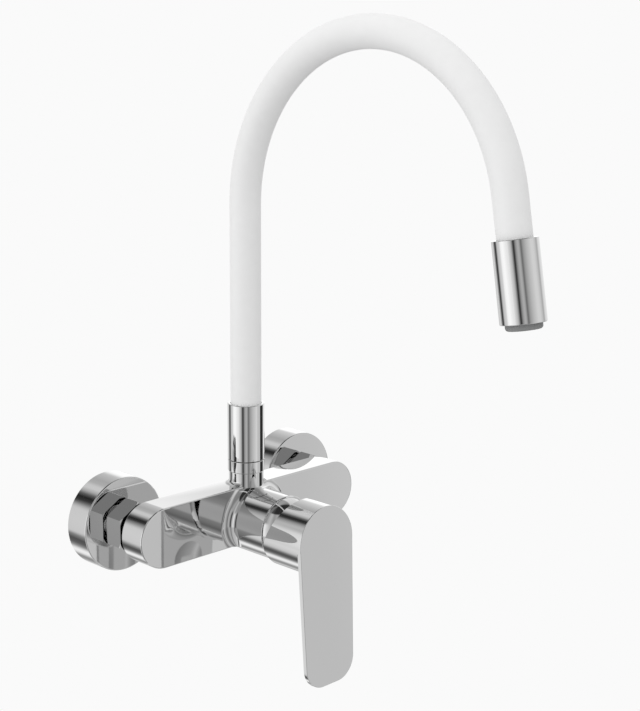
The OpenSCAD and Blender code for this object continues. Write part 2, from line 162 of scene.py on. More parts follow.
VALVE = out_of_wall(0, VALVE_Z)
SPOUT = Matrix.Translation(Vector((0, -SPOUT_OUT, 0)) * MM)
BLADE = (VALVE @ Matrix.Translation(Vector((0, 0, BLADE_FRONT)) * MM)
         @ Matrix.Rotation(-radians(BLADE_LEAN), 4, "X"))
SCREW = (VALVE @ Matrix.Translation(Vector((0, 0, SCREW_OUT)) * MM)
         @ Matrix.Rotation(pi / 2, 4, "X"))

HEAD_OUT = RISE_R + FALL_R * sin(radians(FALL_TURN)) + FALL_END * cos(radians(FALL_TURN))
HEAD_Z = (RISE_TOP + RISE_R - FALL_R + FALL_R * cos(radians(FALL_TURN))
          - FALL_END * sin(radians(FALL_TURN)))
HEAD = (Matrix.Translation(Vector((0, -SPOUT_OUT - HEAD_OUT, HEAD_Z)) * MM)
        @ Matrix.Rotation(pi - radians(90 - FALL_TURN), 4, "X"))

# ---------------------------------------------------------------- modelling


def take(*objects):
    """Leaves edit mode and selects only these objects, the last one active."""
    if bpy.context.object and bpy.context.object.mode != "OBJECT":
        bpy.ops.object.mode_set(mode="OBJECT")
    bpy.ops.object.select_all(action="DESELECT")
    for obj in objects:
        obj.select_set(True)
        bpy.context.view_layer.objects.active = obj


def pick(obj, test, kind="vertices"):
    """In edit mode, selects only the vertices, edges or faces whose centre, in mm, passes the test."""
    take(obj)
    bpy.ops.object.mode_set(mode="EDIT")
    bpy.ops.mesh.select_mode(type={"vertices": "VERT", "edges": "EDGE", "polygons": "FACE"}[kind])
    bpy.ops.mesh.select_all(action="DESELECT")
    bpy.ops.object.mode_set(mode="OBJECT")
    points = obj.data.vertices
    for part in getattr(obj.data, kind):
        if kind == "vertices":
            middle = part.co
        else:
            middle = sum((points[i].co for i in part.vertices), Vector()) / len(part.vertices)
        part.select = test(middle / MM)
    bpy.ops.object.mode_set(mode="EDIT")


def arc(centre, radius, start, end, steps=FINE_ARC):
    """Points on an arc about centre, from one angle to another in degrees."""
    turns = [radians(start + (end - start) * i / steps) for i in range(steps + 1)]
    return [(centre[0] + radius * cos(t), centre[1] + radius * sin(t)) for t in turns]


def turned(name, profile, place=Matrix.Identity(4), sides=SIDES, capped=False):
    """A turned piece: a circle is drawn on, ring by ring, through a profile of (radius, height) in mm.
    The last ring is bridged to the first, or both are capped."""
    take()
    (radius, height), *rest = profile
    bpy.ops.mesh.primitive_circle_add(vertices=sides, radius=radius * MM)
    obj = bpy.context.object
    obj.name = name
    bpy.ops.object.mode_set(mode="EDIT")
    bpy.ops.mesh.select_all(action="SELECT")
    bpy.ops.transform.translate(value=(0, 0, height * MM))
    for next_radius, next_height in rest:
        rise = (0, 0, (next_height - height) * MM)
        bpy.ops.mesh.extrude_edges_move(TRANSFORM_OT_translate={"value": rise})
        grow = next_radius / radius
        bpy.ops.transform.resize(value=(grow, grow, 1), center_override=(0, 0, next_height * MM))
        radius, height = next_radius, next_height
    bpy.ops.mesh.select_all(action="SELECT")
    if capped:
        bpy.ops.mesh.fill_holes(sides=0)
    else:
        bpy.ops.mesh.select_all(action="DESELECT")
        bpy.ops.mesh.select_mode(type="EDGE")
        bpy.ops.mesh.select_non_manifold()
        bpy.ops.mesh.bridge_edge_loops()
    bpy.ops.mesh.select_all(action="SELECT")
    bpy.ops.mesh.normals_make_consistent(inside=False)
    return put(obj, place)


def rod(name, radius, low, high, place=Matrix.Identity(4), sides=SIDES):
    """A plain rod between two heights, used to build up and to bore."""
    take()
    bpy.ops.mesh.primitive_cylinder_add(
        vertices=sides, radius=radius * MM, depth=(high - low) * MM, location=(0, 0, (low + high) / 2 * MM))
    obj = bpy.context.object
    obj.name = name
    bpy.ops.object.transform_apply()
    return put(obj, place)


def block(name, low, high, place=Matrix.Identity(4)):
    """A plain block between two corners, used to trim."""
    take()
    low, high = Vector(low), Vector(high)
    bpy.ops.mesh.primitive_cube_add(size=1, location=(low + high) / 2 * MM, scale=(high - low) * MM)
    obj = bpy.context.object
    obj.name = name
    bpy.ops.object.transform_apply()
    return put(obj, place)


def stretched(name, radius, moves, sides=SIDES):
    """A flat disc whose rim is pulled out into an outline. Each move takes the rim points that pass its
    test, in mm on the round disc, grows them about the middle and shifts them."""
    take()
    bpy.ops.mesh.primitive_circle_add(vertices=sides, radius=radius * MM, fill_type="NGON")
    obj = bpy.context.object
    obj.name = name
    for test, grow, shift in moves:
        pick(obj, test)
        bpy.ops.transform.resize(value=(grow, grow, 1), center_override=(0, 0, 0))
        bpy.ops.transform.translate(value=Vector((*shift, 0)) * MM)
    take(obj)
    return obj


def slab(obj, low, high, edge=0.0, place=Matrix.Identity(4)):
    """Makes a flat outline a plate between two heights, with both rims rounded if an edge is given."""
    take(obj)
    bpy.ops.object.mode_set(mode="EDIT")
    bpy.ops.mesh.select_all(action="SELECT")
    bpy.ops.transform.translate(value=(0, 0, low * MM))
    bpy.ops.mesh.extrude_region_move(TRANSFORM_OT_translate={"value": (0, 0, (high - low) * MM)})
    bpy.ops.mesh.select_all(action="SELECT")
    bpy.ops.mesh.normals_make_consistent(inside=False)
    if edge:
        near = 0.01
        pick(obj, lambda p: min(abs(p.z - low), abs(p.z - high)) < near, "edges")
        bpy.ops.mesh.bevel(offset=edge * MM, segments=FINE_ARC, affect="EDGES")
    return put(obj, place)


def put(obj, place):
    """Sets a piece down at its place and leaves its object at the origin, unturned and unscaled."""
    take(obj)
    obj.matrix_world = place
    bpy.ops.object.transform_apply()
    return obj


def combine(obj, tools, operation):
    """Fuses, cuts or trims a piece with tools, which are used up."""
    for tool in tools:
        take(obj)
        bpy.ops.object.modifier_add(type="BOOLEAN")
        modifier = obj.modifiers[-1]
        modifier.operation = operation
        modifier.solver = "EXACT"
        modifier.object = tool
        bpy.ops.object.modifier_apply(modifier=modifier.name)
        bpy.data.objects.remove(tool)
    return obj


def fuse(obj, *tools):
    """Joins pieces to a piece."""
    return combine(obj, tools, "UNION")


def cut(obj, *tools):
    """Takes pieces away from a piece."""
    return combine(obj, tools, "DIFFERENCE")


def trim(obj, *tools):
    """Keeps what lies inside other pieces."""
    return combine(obj, tools, "INTERSECT")


def polish(obj, angle=30):
    """Smooth shading up to an angle, with flat faces kept flat by weighted normals."""
    take(obj)
    bpy.ops.object.shade_smooth_by_angle(angle=radians(angle))
    bpy.ops.object.modifier_add(type="WEIGHTED_NORMAL")
    obj.modifiers[-1].keep_sharp = True
    obj.modifiers[-1].weight = 100
    bpy.ops.object.modifier_apply(modifier=obj.modifiers[-1].name)
    return obj


def twin(obj, name, shift):
    """A copy with its own mesh, moved by shift in mm."""
    take(obj)
    bpy.ops.object.duplicate()
    copy = bpy.context.object
    copy.name = name
    bpy.ops.transform.translate(value=Vector(shift) * MM)
    bpy.ops.object.transform_apply()
    return copy


def dress(obj, finish):
    """Gives a piece one material."""
    obj.data.materials.clear()
    obj.data.materials.append(finish)
    return obj


def install(obj, finish, body, slot, *nodes):
    """Finishes a new piece: its material, the body it rides on and the CAD nodes it stands for."""
    dress(obj, finish)
    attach(obj, body)
    if nodes:
        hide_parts(*nodes)
    return obj


# ---------------------------------------------------------------- materials


def linear(colour):
    """A hex sRGB colour as linear red, green, blue and alpha."""
    parts = [int(colour[i:i + 2], 16) / 255 for i in (1, 3, 5)]
    return [p / 12.92 if p <= 0.04045 else ((p + 0.055) / 1.055) ** 2.4 for p in parts] + [1]


def node(tree, kind, inputs=None, **settings):
    """Adds a node with its settings. An input takes a value or another node's output."""
    made = tree.nodes.new(kind)
    for key, value in settings.items():
        setattr(made, key, value)
    for key, value in (inputs or {}).items():
        if isinstance(value, bpy.types.NodeSocket):
            tree.links.new(value, made.inputs[key])
        else:
            made.inputs[key].default_value = value
    return made


def new_material(name, **surface):
    """A material with one shader. Returns it with its tree, shader and the piece's own coordinates."""
    made = bpy.data.materials.new(name)
    made.use_nodes = True
    tree = made.node_tree
    shader = tree.nodes["Principled BSDF"]
    for key, value in surface.items():
        shader.inputs[key.replace("_", " ")].default_value = value
    place = tree.nodes.new("ShaderNodeTexCoord").outputs["Object"]
    return made, tree, shader, place


def per_metre(size_mm):
    """Scale of a pattern whose features are this many mm across."""
    return 1 / (size_mm * MM)


def polished_chrome(name, tone="#E3E3E3", haze=0.035):
    """Bright nickel-chrome plating on a polished casting: a mirror, with a breath of haze where hands
    touch it. The smudges are 14 mm across and broken up by wipe marks of 0.9 mm."""
    made, tree, shader, place = new_material(name, Metallic=1.0)
    shader.inputs["Base Color"].default_value = linear(tone)
    smudge = node(tree, "ShaderNodeTexNoise", {"Vector": place, "Scale": per_metre(14), "Detail": 4.0})
    wipe = node(tree, "ShaderNodeTexNoise", {"Vector": place, "Scale": per_metre(0.9), "Detail": 2.0})
    blotch = node(tree, "ShaderNodeMath", {
        0: smudge.outputs["Fac"], 1: wipe.outputs["Fac"]}, operation="MULTIPLY")
    rough = node(tree, "ShaderNodeMapRange", {
        "Value": blotch.outputs[0], "To Min": haze * 0.6, "To Max": haze * 2.2})
    tree.links.new(rough.outputs["Result"], shader.inputs["Roughness"])
    # the buffing wheel leaves a swell too shallow to see but for the way it bends a reflection
    swell = node(tree, "ShaderNodeTexNoise", {"Vector": place, "Scale": per_metre(9), "Detail": 1.0})
    bump = node(tree, "ShaderNodeBump", {
        "Height": swell.outputs["Fac"], "Strength": 0.0015, "Distance": 0.2 * MM})
    tree.links.new(bump.outputs["Normal"], shader.inputs["Normal"])
    return made


def turned_brass(name):
    """Free-cutting brass as it leaves the lathe: dull gold, with a fine grain. Tool marks are finer than
    0.1 mm, so the grain is drawn 0.5 mm wide to show at all."""
    made, tree, shader, place = new_material(name, Metallic=1.0)
    grain = node(tree, "ShaderNodeTexNoise", {"Vector": place, "Scale": per_metre(0.5), "Detail": 5.0})
    colour = node(tree, "ShaderNodeMix", {
        "Factor": grain.outputs["Fac"], "A": linear("#B08D45"), "B": linear("#D9B86A")}, data_type="RGBA")
    tree.links.new(colour.outputs["Result"], shader.inputs["Base Color"])
    rough = node(tree, "ShaderNodeMapRange", {
        "Value": grain.outputs["Fac"], "To Min": 0.22, "To Max": 0.42})
    tree.links.new(rough.outputs["Result"], shader.inputs["Roughness"])
    bump = node(tree, "ShaderNodeBump", {
        "Height": grain.outputs["Fac"], "Strength": 0.15, "Distance": 0.05 * MM})
    tree.links.new(bump.outputs["Normal"], shader.inputs["Normal"])
    return made


def ground_steel(name):
    """Stainless steel, ground: grey with a fine grain. Grit marks are drawn 0.3 mm wide to show at all."""
    made, tree, shader, place = new_material(name, Metallic=1.0)
    grain = node(tree, "ShaderNodeTexNoise", {"Vector": place, "Scale": per_metre(0.3), "Detail": 4.0})
    colour = node(tree, "ShaderNodeMix", {
        "Factor": grain.outputs["Fac"], "A": linear("#8E9093"), "B": linear("#B9BBBE")}, data_type="RGBA")
    tree.links.new(colour.outputs["Result"], shader.inputs["Base Color"])
    rough = node(tree, "ShaderNodeMapRange", {
        "Value": grain.outputs["Fac"], "To Min": 0.25, "To Max": 0.4})
    tree.links.new(rough.outputs["Result"], shader.inputs["Roughness"])
    return made


def moulded(name, light, dark, roughness, grain_mm, depth_mm):
    """A moulded or lapped surface: a low mottle of colour, 12 grains wide, and the mould's fine grain,
    drawn some tenths of a millimetre wide, which is coarser than a real one, to show at all."""
    made, tree, shader, place = new_material(name)
    mottle = node(tree, "ShaderNodeTexNoise", {
        "Vector": place, "Scale": per_metre(grain_mm * 12), "Detail": 3.0})
    colour = node(tree, "ShaderNodeMix", {
        "Factor": mottle.outputs["Fac"], "A": linear(dark), "B": linear(light)}, data_type="RGBA")
    tree.links.new(colour.outputs["Result"], shader.inputs["Base Color"])
    rough = node(tree, "ShaderNodeMapRange", {
        "Value": mottle.outputs["Fac"], "To Min": roughness * 0.9, "To Max": roughness * 1.1})
    tree.links.new(rough.outputs["Result"], shader.inputs["Roughness"])
    grain = node(tree, "ShaderNodeTexNoise", {"Vector": place, "Scale": per_metre(grain_mm), "Detail": 2.0})
    bump = node(tree, "ShaderNodeBump", {
        "Height": grain.outputs["Fac"], "Strength": 0.5, "Distance": depth_mm * MM})
    tree.links.new(bump.outputs["Normal"], shader.inputs["Normal"])
    return made


CHROME = polished_chrome("polished_chrome")
BRASS = turned_brass("turned_brass")
STEEL = ground_steel("ground_steel")
# cured silicone: an even milky white with a soft, dry sheen
SILICONE = moulded("white_silicone", "#F6F6F6", "#F1F1F1", 0.5, 0.5, 0.02)
# soft rubber that limescale rubs off from: mid grey and matt
GREY_RUBBER = moulded("grey_rubber", "#8F9090", "#868787", 0.6, 0.4, 0.02)
# nitrile rubber of seals: nearly black, with a low sheen
BLACK_RUBBER = moulded("black_rubber", "#1E1E1F", "#161617", 0.5, 0.3, 0.01)
# acetal: a waxy white, and a brick red for the piece that slides
WHITE_PLASTIC = moulded("white_acetal", "#ECECE8", "#E2E2DD", 0.35, 0.3, 0.01)
RED_PLASTIC = moulded("red_acetal", "#B8402A", "#A83822", 0.35, 0.3, 0.01)
# ABS from a polished mould: light grey with a clear sheen
GREY_PLASTIC = moulded("grey_abs", "#A2A4A7", "#999B9E", 0.3, 0.3, 0.01)
# alumina lapped flat: ivory, almost as smooth as glass
CERAMIC = moulded("lapped_alumina", "#F1EDE2", "#E9E5DA", 0.12, 0.2, 0.002)
# polyester braid on a plastic tube: pale blue grey, its strands drawn as a grain of 1 mm
BRAIDED_TUBE = moulded("braided_tube", "#C9D2DA", "#AEB9C4", 0.3, 1.0, 0.1)

# the pieces inside keep the CAD's form
for finish, nodes in (
        (BLACK_RUBBER, ("strainer_washer_left", "strainer_washer_right", "nipple_o_rings",
                        "cartridge_seals", "spout_o_rings", "head_o_ring")),
        (WHITE_PLASTIC, ("cartridge_base", "spindle_turret", "cartridge_housing", "slide_washer")),
        (RED_PLASTIC, ("disc_carrier",)),
        (CERAMIC, ("fixed_disc", "moving_disc")),
        (BRASS, ("spindle", "cartridge_nut", "spout_tail", "head_connector")),
        (STEEL, ("spindle_pin", "grub_screw"))):
    for name in nodes:
        dress(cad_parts[name], finish)

# ---------------------------------------------------------------- wall side


def escutcheon():
    """A deep-drawn cup with a rounded rim, open towards the wall."""
    r, depth = size_of("escutcheon_left").x / 2, size_of("escutcheon_left").y
    wall, edge, hole, curl, collar = 1.2, 0.8, 13.3, 0.3, 4
    profile = [(r, 0)]
    profile += arc((r - edge, depth - edge), edge, 0, 90)
    profile += arc((hole + curl, depth - curl), curl, 90, 180)
    profile += [(hole, depth - collar), (hole + wall, depth - collar), (hole + wall, depth - wall),
                (r - wall, depth - wall), (r - wall, 0)]
    return turned("left_escutcheon", profile, out_of_wall(-INLET_X, INLET_Z))


def eccentric_union():
    """An offset connector: a threaded stub in the wall and a shouldered barrel that carries the nut."""
    stub_r, stub_length, stub_bore, barrel_r, barrel_bore = 10.48, 14.0, 6.5, 13.2, 8.6
    turns, pitch, depth, lead_in = 7, 1.81, 1.15, 0.4
    core, core_end = 5.0, 1.5
    thread = [(core, -stub_length), (stub_r - 1.2, -stub_length)]
    for turn in range(turns):
        foot = -stub_length + lead_in + turn * pitch
        thread += [(stub_r - depth, foot + 0.1),
                   (stub_r, foot + pitch * 0.45), (stub_r, foot + pitch * 0.55)]
    thread += [(stub_r - depth, -0.8), (stub_r - depth, core_end), (core, core_end)]
    wall_side, body_side = out_of_wall(-INLET_X, 0), out_of_wall(-INLET_X, INLET_Z)
    obj = turned("left_union", thread, wall_side, PLAIN_SIDES, capped=True)
    fuse(obj, rod("shoulder", barrel_r - 0.4, 1, 9, wall_side, PLAIN_SIDES),
         rod("barrel", barrel_r, 4.5, 24, body_side, PLAIN_SIDES))
    cut(obj, rod("wall_bore", stub_bore, -stub_length - 1, 7, wall_side, BORE_SIDES),
        rod("bore", barrel_bore, 6, 25, body_side, BORE_SIDES))
    return polish(obj)


def union_nut():
    """A hexagon nut, its corners turned down on both faces."""
    half_flats = size_of("union_nut_left").x / 2
    tip = half_flats / cos(pi / 6)
    low, high, lip = 19.7, NUT_END, 28.5
    bevel, slope, corner = 1.1, 0.6, 0.35
    thread_bore, lip_bore = 13.3, 10.8
    obj = rod("left_union_nut", tip, low, high, sides=6)
    trim(obj, turned("chamfer", [
        (1, low), (tip - bevel, low), (tip + 0.02, low + slope), (tip + 0.02, high - slope),
        (tip - bevel, high), (1, high)], capped=True))
    pick(obj, lambda p: abs(p.xy.length - tip) < corner and low + slope < p.z < high - slope, "edges")
    bpy.ops.mesh.bevel(offset=corner * MM, segments=3, affect="EDGES")
    cut(obj, rod("thread_bore", thread_bore, low - 1, lip), rod("lip_bore", lip_bore, low, high + 1))
    return put(polish(obj, 20), out_of_wall(-INLET_X, INLET_Z))


def inlet_nipple():
    """A flanged tube that the nut pulls against the washer."""
    flange_r, tube_r, bore_r, low, shoulder, high = 12.4, 10.5, 7.5, 26.3, 28.3, 45.2
    profile = [(flange_r, low), (flange_r, shoulder), (tube_r, shoulder), (tube_r, high),
               (bore_r, high), (bore_r, low)]
    return polish(turned("left_nipple", profile, out_of_wall(-INLET_X, INLET_Z), PLAIN_SIDES))


for left, node_name in (
        (polish(escutcheon()), "escutcheon"),
        (eccentric_union(), "eccentric_union"),
        (union_nut(), "union_nut"),
        (inlet_nipple(), "inlet_nipple")):
    right = twin(left, left.name.replace("left", "right"), (2 * INLET_X, 0, 0))
    install(left, CHROME, "mixer", "chrome_plate", node_name + "_left")
    install(right, CHROME, "mixer", "chrome_plate", node_name + "_right")

# ---------------------------------------------------------------- body


def bar_outline():
    """The bar seen from the front: a disc pulled apart into two half-round ends."""
    near = 0.001
    return stretched("body_casting", BAR_HALF, [
        (lambda p: p.x > near, 1, (BAR_REACH, 0)),
        (lambda p: p.x < -near, 1, (-BAR_REACH, 0))])


def mixer_body():
    """One casting: the bar, the cartridge housing that leaves it through a cove, and the spout boss."""
    bar_place = out_of_wall(0, BAR_Z)
    obj = slab(bar_outline(), BAR_BACK, BAR_FRONT, BAR_EDGE, bar_place)
    r, cove, back, back_round, rim_round = HOUSING_R, HOUSING_COVE, 38, 4, 0.4
    barrel = arc((r - back_round, back + back_round), back_round, -90, 0, 12)
    barrel += arc((r - rim_round, HOUSING_END - rim_round), rim_round, 0, 90, 4)
    fuse(obj, turned("barrel", barrel, VALVE, capped=True))
    ring = [(r - 3, BAR_FRONT - 3), (r + cove, BAR_FRONT - 3)]
    ring += arc((r + cove - COVE_SINK, BAR_FRONT + cove - COVE_SINK), cove, -90, -180, 24)
    ring += [(r - 3, BAR_FRONT + cove)]
    cove_ring = turned("cove", ring, VALVE)
    trim(cove_ring, block("cove_trim", (-40, -BAR_HALF + BAR_EDGE, BAR_FRONT - 2),
                          (40, BAR_HALF - BAR_EDGE, BAR_FRONT + 12), bar_place))
    fuse(obj, cove_ring)
    top = BAR_Z + BAR_HALF
    flare = BOSS_R + BOSS_FLARE
    skirt = [(BOSS_R - 2, top - 2), (flare, top - 2)]
    skirt += arc((flare - COVE_SINK, top + BOSS_FLARE - COVE_SINK), BOSS_FLARE, -90, -180, 16)
    skirt += [(BOSS_R - 2, top + BOSS_FLARE)]
    flare_ring = turned("flare", skirt, SPOUT)
    trim(flare_ring, block("flare_trim", (-20, -BAR_FRONT + BAR_EDGE, top - 1),
                           (20, -BAR_BACK - BAR_EDGE, top + 5)))
    boss_round, spigot_r = 0.3, BOSS_R - 1
    boss = [(BOSS_R, BAR_Z)] + arc((BOSS_R - boss_round, BOSS_TOP - boss_round), boss_round, 0, 90, 3)
    boss += [(spigot_r, BOSS_TOP), (spigot_r, SPIGOT_TOP)]
    fuse(obj, turned("boss", boss, SPOUT, capped=True), flare_ring)
    # cartridge bore with its thread and the recess of the bonnet
    bore, thread, recess, seat, thread_foot = 17.5, 18.6, 19.6, 46, 66
    cut(obj, turned("bore", [
        (bore, seat), (bore, thread_foot), (thread, thread_foot), (thread, BONNET_SEAT),
        (recess, BONNET_SEAT), (recess, HOUSING_END + 1)], VALVE, capped=True))
    # inlet bores, each with the seat of its seal
    inlet_r, seal_r, seal_floor, inlet_floor = 10.55, 12.2, BAR_BACK + 2, 45.6
    for side in (-1, 1):
        cut(obj, turned("inlet", [
            (seal_r, BAR_BACK - 1), (seal_r, seal_floor), (inlet_r, seal_floor), (inlet_r, inlet_floor)],
            out_of_wall(side * INLET_X, INLET_Z), PLAIN_SIDES, capped=True))
    spout_bore, spout_floor = 8.3, 8.5
    cut(obj, rod("spout_bore", spout_bore, spout_floor, SPIGOT_TOP + 1, SPOUT, PLAIN_SIDES))
    # a wider angle shares normals between the flat faces and the roundings, which bends what they mirror
    return polish(obj, 7)


install(mixer_body(), CHROME, "mixer", "chrome_body", "mixer_body")


def bonnet():
    """A domed cover between housing and lever, open in the middle for the spindle."""
    wall, collar_bore, collar_r = 1.47, 18.8, 19.55
    collar_foot, collar_top = BONNET_SEAT + 0.2, HOUSING_END + 0.05
    inner = DOME_R - wall
    base = HOUSING_END - LIFT_PIVOT + 0.05
    mouth = DOME_MOUTH - LIFT_PIVOT
    profile = arc((0, LIFT_PIVOT), DOME_R, degrees(asin(base / DOME_R)), degrees(asin(mouth / DOME_R)), 24)
    profile += arc((0, LIFT_PIVOT), inner, degrees(asin(mouth / inner)), degrees(asin(base / inner)), 16)
    profile += [(collar_bore, collar_top), (collar_bore, collar_foot), (collar_r, collar_foot),
                (collar_r, collar_top)]
    return polish(turned("dome_bonnet", profile, VALVE))


install(bonnet(), CHROME, "mixer", "chrome_plate", "bonnet")

# ---------------------------------------------------------------- lever


def blade_outline(name):
    """The blade seen from the front: a disc on the valve axis whose lower half is drawn down to a
    narrower foot with two round corners."""
    near = 0.001
    top = SKIRT_R - 0.05
    side, drop = BLADE_FOOT_HALF - BLADE_CORNER, BLADE_CORNER - BLADE_LENGTH
    return stretched(name, top, [
        (lambda p: p.y < -near, BLADE_CORNER / top, (0, drop)),
        (lambda p: p.y < drop + near and p.x > near, 1, (side, 0)),
        (lambda p: p.y < drop + near and p.x < -near, 1, (-side, 0))])


def dish_blade(obj):
    """Hollows the blade's back into a shallow dish for the fingers, with a crisp edge."""
    depth, curve, round_end, sides = 1.2, 60.0, 14, 480
    below_skirt, above_foot = 9.5, 8
    half_width = sqrt(curve ** 2 - (curve - depth) ** 2)
    top, foot = -SKIRT_R - below_skirt - half_width, above_foot + half_width - BLADE_LENGTH
    place = (BLADE @ Matrix.Translation(Vector((0, 0, depth - BLADE_THICKNESS - curve)) * MM)
             @ Matrix.Rotation(-pi / 2, 4, "X"))
    barrel = arc((0, foot), curve, -round_end, 0, 24) + arc((0, top), curve, 0, round_end, 24)
    cut(obj, turned("dish", barrel, place, sides, capped=True))
    to_blade = BLADE.inverted()

    def on_edge(p):
        across, along, out = to_blade @ (p * MM) / MM
        return abs(out + BLADE_THICKNESS) < 0.01 and abs(across) < 13 and foot - 13 < along < top + 13

    pick(obj, on_edge, "edges")
    bpy.ops.mesh.mark_sharp()
    take(obj)


def fillet_skirt(obj):
    """Rounds the corner between skirt and blade. The fillet starts from nothing where the blade's sides
    leave the skirt and grows to its full radius below it."""
    to_valve, to_blade = VALVE.inverted(), BLADE.inverted()
    narrowing = (SKIRT_R - BLADE_FOOT_HALF) / (BLADE_LENGTH - BLADE_CORNER)
    step = 360 / SIDES
    turn = 4 * step
    while turn < 90:
        reach = (SKIRT_R - 0.05) / (cos(radians(turn)) + narrowing * sin(radians(turn)))
        weight = min((reach - SKIRT_R - 0.05) / SKIRT_FILLET, 1)
        end = 90.1 if weight == 1 else turn + step

        def in_corner(p):
            seen = to_valve @ (p * MM) / MM
            down = degrees(atan2(-seen.y, abs(seen.x)))
            return (abs((to_blade @ (p * MM)).z / MM + BLADE_THICKNESS) < 0.01
                    and abs(seen.xy.length - SKIRT_R) < 0.05 and turn < down <= end)

        pick(obj, in_corner, "edges")
        bpy.ops.transform.edge_bevelweight(value=weight)
        turn = end
    take(obj)
    bpy.ops.object.modifier_add(type="BEVEL")
    modifier = obj.modifiers[-1]
    modifier.limit_method = "WEIGHT"
    modifier.width = SKIRT_FILLET * MM
    modifier.segments = 16
    modifier.use_clamp_overlap = False
    bpy.ops.object.modifier_apply(modifier=modifier.name)


def lever_handle():
    """One casting: a hollow skirt round the bonnet that runs through a fillet into a thin hanging blade."""
    spare = 3.0
    obj = slab(blade_outline("lever_casting"), -BLADE_THICKNESS, spare, place=BLADE)
    dish_blade(obj)
    fuse(obj, rod("skirt", SKIRT_R, RIM_OUT, BLADE_FRONT + spare, VALVE))
    cut(obj, block("face", (-40, -110, 0), (40, 40, spare * 3), BLADE))
    # upper part of the rim, cut back on a slope so that the lever can lift
    rim = (VALVE @ Matrix.Translation(Vector((0, 0, RIM_MIDDLE)) * MM)
           @ Matrix.Rotation(atan(RIM_SLOPE), 4, "X"))
    cut(obj, block("rim", (-30, -30, -30), (30, 30, 0), rim))
    # room for the bonnet's dome and its collar, round the hub that takes the spindle
    dome_room, cavity_r, cavity_end, hub_r, hub_foot = 21.2, 18.6, 113.5, 9, 98
    hollow = arc((0, LIFT_PIVOT), dome_room, -20, 28, 24)
    hollow += [(cavity_r, LIFT_PIVOT + 12), (cavity_r, cavity_end), (hub_r, cavity_end), (hub_r, hub_foot)]
    cut(obj, turned("hollow", hollow, VALVE, capped=True))
    half, socket_foot, socket_end = 3.55, 97, 112.3
    cut(obj, block("spindle_socket", (-half, -half, socket_foot), (half, half, socket_end), VALVE))
    screw_r, plug_hole_r = 2.5, 3.2
    cut(obj, rod("screw_hole", screw_r, 1, 12, SCREW, HOLE_SIDES),
        rod("plug_hole", plug_hole_r, 17.6, 24, SCREW, HOLE_SIDES))
    fillet_skirt(obj)
    to_blade, edge = BLADE.inverted(), 0.4
    pick(obj, lambda p: abs((to_blade @ (p * MM)).z) < 0.01 * MM, "edges")
    bpy.ops.mesh.bevel(offset=edge * MM, segments=4, affect="EDGES")
    return polish(obj)


def screw_plug():
    """A moulded plug that closes the screw's hole, with a dimple to prise it out by."""
    r, foot, face, edge, dimple_r = 3.15, 18.3, SKIRT_R - 0.1, 0.3, 0.9
    profile = [(r, foot)] + arc((r - edge, SKIRT_R - 0.4), edge, 0, 90, 3)
    profile += [(dimple_r, face), (dimple_r - 0.2, SKIRT_R - 0.4)]
    return polish(turned("plug", profile, SCREW, HOLE_SIDES, capped=True))


install(lever_handle(), CHROME, "lever", "chrome_lever", "lever_handle")
install(screw_plug(), GREY_PLASTIC, "lever", "grey_plastic", "screw_plug")

# ---------------------------------------------------------------- spout


def spout_nut():
    """A round nut on the boss, with a lip that holds the spout down."""
    edge, foot, step = 0.3, BOSS_TOP + 0.15, SPIGOT_TOP + 0.2
    lip_bore, washer_bore, thread_bore, lip = 8.1, 9.8, 10.05, COLLAR_SPLIT - 1.1
    profile = arc((COLLAR_R - edge, foot + edge), edge, -90, 0, 3)
    profile += arc((COLLAR_R - edge, COLLAR_SPLIT - edge), edge, 0, 90, 3)
    profile += [(lip_bore, COLLAR_SPLIT), (lip_bore, lip), (washer_bore, lip), (washer_bore, step),
                (thread_bore, step), (thread_bore, foot)]
    return polish(turned("ring_nut", profile, SPOUT))


def hose_sleeve():
    """A turned sleeve that swallows the foot of the hose."""
    edge, foot_edge, foot, bore = 0.5, 0.3, COLLAR_SPLIT + 0.3, HOSE_R + 0.1
    tail_bore, floor, mouth = 7.95, HOSE_FOOT - 0.05, 0.2
    profile = arc((COLLAR_R - foot_edge, foot + foot_edge), foot_edge, -90, 0, 3)
    profile += arc((COLLAR_R - edge, SLEEVE_TOP - edge), edge, 0, 90)
    profile += [(bore + mouth, SLEEVE_TOP), (bore, SLEEVE_TOP - mouth), (bore, floor),
                (tail_bore, floor), (tail_bore, foot)]
    return polish(turned("foot_sleeve", profile, SPOUT))


install(spout_nut(), CHROME, "mixer", "chrome_plate", "spout_nut")
install(hose_sleeve(), CHROME, "spout", "chrome_plate", "hose_sleeve")


